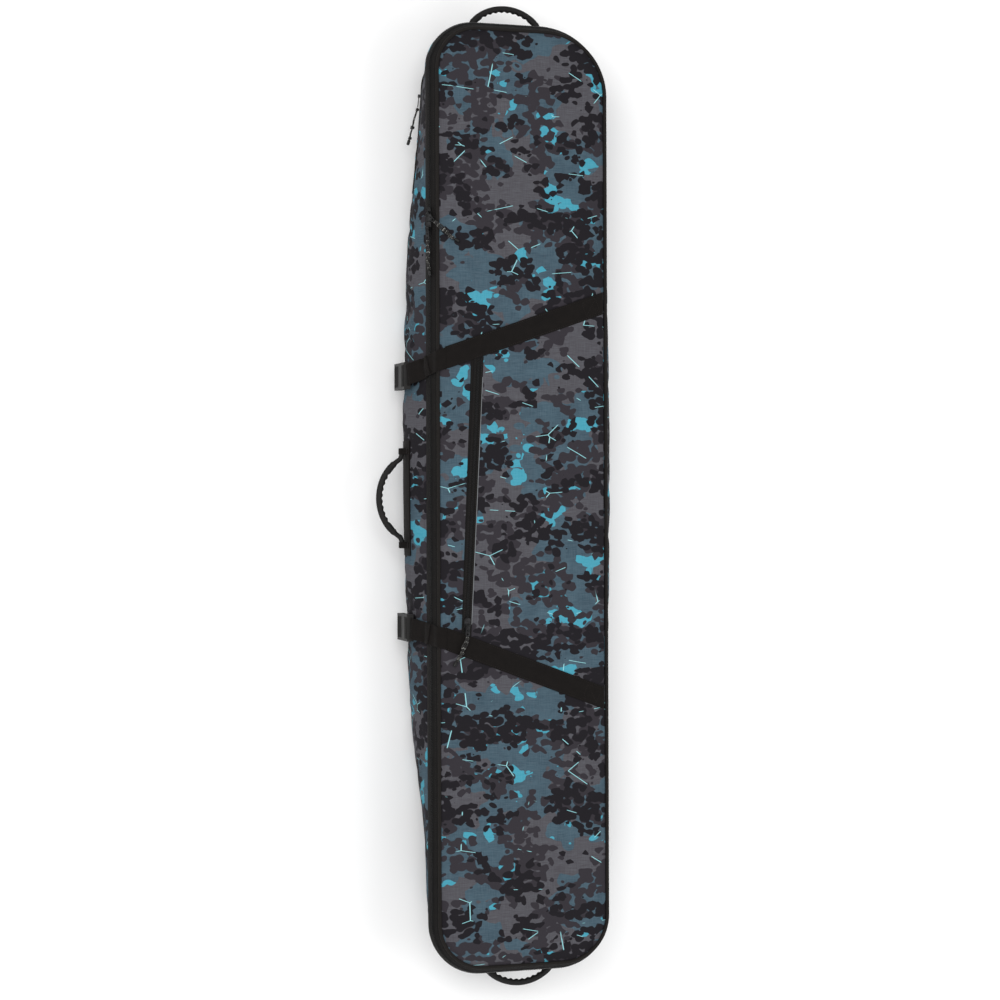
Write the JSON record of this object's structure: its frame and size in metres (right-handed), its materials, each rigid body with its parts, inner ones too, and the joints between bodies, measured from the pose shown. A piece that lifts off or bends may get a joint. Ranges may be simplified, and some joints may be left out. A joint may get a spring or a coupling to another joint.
{
  "type": "snowboard bag",
  "caption": "Long padded zip-round board bag with a lid that opens on one long seam, compression straps, a slanted front pocket and three carry handles.",
  "frame": {"origin": "centre of the back panel's resting face", "axes": "+Z out of the front panel, +Y towards the top-handle end, +X towards the hinge side"},
  "size_m": [0.4376, 1.7939, 0.1838],
  "materials": {
    "printed_fabric": "woven polyester with a camouflage print, matt",
    "back_fabric": "coated woven polyester, black",
    "padding": "closed-cell foam",
    "lining": "thin woven lining",
    "piping": "woven tape over a cord, black",
    "zip_tape": "woven zip tape, black",
    "zip_coil": "moulded coil, black",
    "webbing": "ribbed webbing, black",
    "buckle_plastic": "moulded acetal, black",
    "grip_rubber": "moulded soft grip, black",
    "slider_metal": "black-lacquered zinc",
    "pull_cord": "braided cord with pale flecks",
    "toggle_plastic": "moulded cord end, black"
  },
  "bodies": {
    "shell": {"back_panel": "back_fabric", "back_foam": "padding", "shell_lining": "lining", "back_piping": "piping", "left_gusset": "printed_fabric", "right_gusset": "printed_fabric", "top_gusset": "printed_fabric", "bottom_gusset": "printed_fabric", "left_foam": "padding", "right_foam": "padding", "top_foam": "padding", "bottom_foam": "padding", "shell_zip_tape": "zip_tape", "shell_zip_coil": "zip_coil", "side_pocket_zip": "zip_tape", "side_handle_base": "webbing", "top_handle_base": "webbing", "bottom_handle_base": "webbing", "upper_anchor_strap": "webbing", "lower_anchor_strap": "webbing", "upper_female_buckle": "buckle_plastic", "lower_female_buckle": "buckle_plastic"},
    "lid": {"front_panel": "printed_fabric", "front_foam": "padding", "front_lining": "lining", "front_piping": "piping", "lid_zip_tape": "zip_tape", "lid_zip_coil": "zip_coil", "pocket_panel": "printed_fabric", "pocket_zip": "zip_tape", "pocket_bag": "lining", "upper_strap": "webbing", "lower_strap": "webbing", "upper_strap_drop": "webbing", "lower_strap_drop": "webbing"},
    "upper_male": {"upper_male_buckle": "buckle_plastic"},
    "lower_male": {"lower_male_buckle": "buckle_plastic"},
    "upper_latch_top": {"upper_latch_top": "buckle_plastic"},
    "upper_latch_bottom": {"upper_latch_bottom": "buckle_plastic"},
    "lower_latch_top": {"lower_latch_top": "buckle_plastic"},
    "lower_latch_bottom": {"lower_latch_bottom": "buckle_plastic"},
    "upper_slider": {"upper_slider": "slider_metal"},
    "lower_slider": {"lower_slider": "slider_metal"},
    "side_slider": {"side_slider": "slider_metal"},
    "pocket_slider": {"pocket_slider": "slider_metal"},
    "upper_pull": {"upper_puller": "slider_metal", "upper_pull_cord": "pull_cord", "upper_pull_toggle": "toggle_plastic"},
    "lower_pull": {"lower_puller": "slider_metal", "lower_pull_cord": "pull_cord", "lower_pull_toggle": "toggle_plastic"},
    "side_pull": {"side_puller": "slider_metal", "side_pull_cord": "pull_cord", "side_pull_toggle": "toggle_plastic"},
    "pocket_pull": {"pocket_puller": "slider_metal", "pocket_pull_cord": "pull_cord", "pocket_pull_toggle": "toggle_plastic"},
    "side_grip": {"side_handle_grip": "grip_rubber"},
    "top_grip": {"top_handle_grip": "grip_rubber"},
    "bottom_grip": {"bottom_handle_grip": "grip_rubber"}
  },
  "joints": [
    {"name": "lid_hinge", "type": "hinge", "parent": "shell", "child": "lid", "pos_m": [0.158, 0, 0.1695], "axis": [0, 1, 0], "range_deg": [0, 180]},
    {"name": "upper_slider_slide", "type": "slide", "parent": "lid", "child": "upper_slider", "axis": [0, 1, 0], "range_m": [0, 0.22]},
    {"name": "lower_slider_slide", "type": "slide", "parent": "lid", "child": "lower_slider", "axis": [0, 1, 0], "range_m": [-1.15, 0]},
    {"name": "side_slider_slide", "type": "slide", "parent": "shell", "child": "side_slider", "axis": [0.1045, 0.9945, 0], "range_m": [-0.155, 0]},
    {"name": "pocket_slider_slide", "type": "slide", "parent": "lid", "child": "pocket_slider", "axis": [0.0493, 0.9988, 0], "range_m": [0, 0.44]},
    {"name": "upper_pull_hinge", "type": "hinge", "parent": "upper_slider", "child": "upper_pull", "pos_m": [-0.17382, 0.506, 0.16035], "axis": [-0.382, -0.7071, -0.595], "range_deg": [0, 120]},
    {"name": "lower_pull_hinge", "type": "hinge", "parent": "lower_slider", "child": "lower_pull", "pos_m": [-0.17382, 0.48, 0.16035], "axis": [-0.5402, 0, -0.8415], "range_deg": [0, 150]},
    {"name": "side_pull_hinge", "type": "hinge", "parent": "side_slider", "child": "side_pull", "pos_m": [-0.16188, 0.73363, 0.05868], "axis": [0.2119, -0.0223, -0.977], "range_deg": [0, 150]},
    {"name": "pocket_pull_hinge", "type": "hinge", "parent": "pocket_slider", "child": "pocket_pull", "pos_m": [-0.10767, -0.226, 0.1818], "axis": [-0.9988, 0.0493, 0], "range_deg": [0, 150]},
    {"name": "upper_buckle_release", "type": "slide", "parent": "lid", "child": "upper_male", "axis": [0, 0, 1], "range_m": [0, 0.03], "deforming": ["upper_strap_drop"]},
    {"name": "lower_buckle_release", "type": "slide", "parent": "lid", "child": "lower_male", "axis": [0, 0, 1], "range_m": [0, 0.03], "deforming": ["lower_strap_drop"]},
    {"name": "upper_latch_top_press", "type": "hinge", "parent": "upper_male", "child": "upper_latch_top", "pos_m": [-0.20162, 0.234, 0.0933], "axis": [1, 0, 0], "range_deg": [-7, 0], "stiffness_Nm_per_rad": 0.02},
    {"name": "upper_latch_bottom_press", "type": "hinge", "parent": "upper_male", "child": "upper_latch_bottom", "pos_m": [-0.20162, 0.206, 0.0933], "axis": [1, 0, 0], "range_deg": [0, 7], "stiffness_Nm_per_rad": 0.02},
    {"name": "lower_latch_top_press", "type": "hinge", "parent": "lower_male", "child": "lower_latch_top", "pos_m": [-0.19754, -0.219, 0.0933], "axis": [1, 0, 0], "range_deg": [-7, 0], "stiffness_Nm_per_rad": 0.02},
    {"name": "lower_latch_bottom_press", "type": "hinge", "parent": "lower_male", "child": "lower_latch_bottom", "pos_m": [-0.19754, -0.247, 0.0933], "axis": [1, 0, 0], "range_deg": [0, 7], "stiffness_Nm_per_rad": 0.02},
    {"name": "side_handle_swing", "type": "hinge", "parent": "shell", "child": "side_grip", "pos_m": [-0.20307, 0, 0.085], "axis": [0, 1, 0], "range_deg": [-75, 60]},
    {"name": "top_handle_swing", "type": "hinge", "parent": "shell", "child": "top_grip", "pos_m": [-0.006, 0.85323, 0.085], "axis": [1, 0, 0], "range_deg": [-75, 60]},
    {"name": "bottom_handle_swing", "type": "hinge", "parent": "shell", "child": "bottom_grip", "pos_m": [0.016, -0.84667, 0.085], "axis": [-1, 0, 0], "range_deg": [-75, 60]}
  ],
  "couplings": [
    {"joint": "upper_latch_bottom_press", "follows": "upper_latch_top_press", "ratio": -1},
    {"joint": "lower_latch_bottom_press", "follows": "lower_latch_top_press", "ratio": -1}
  ]
}
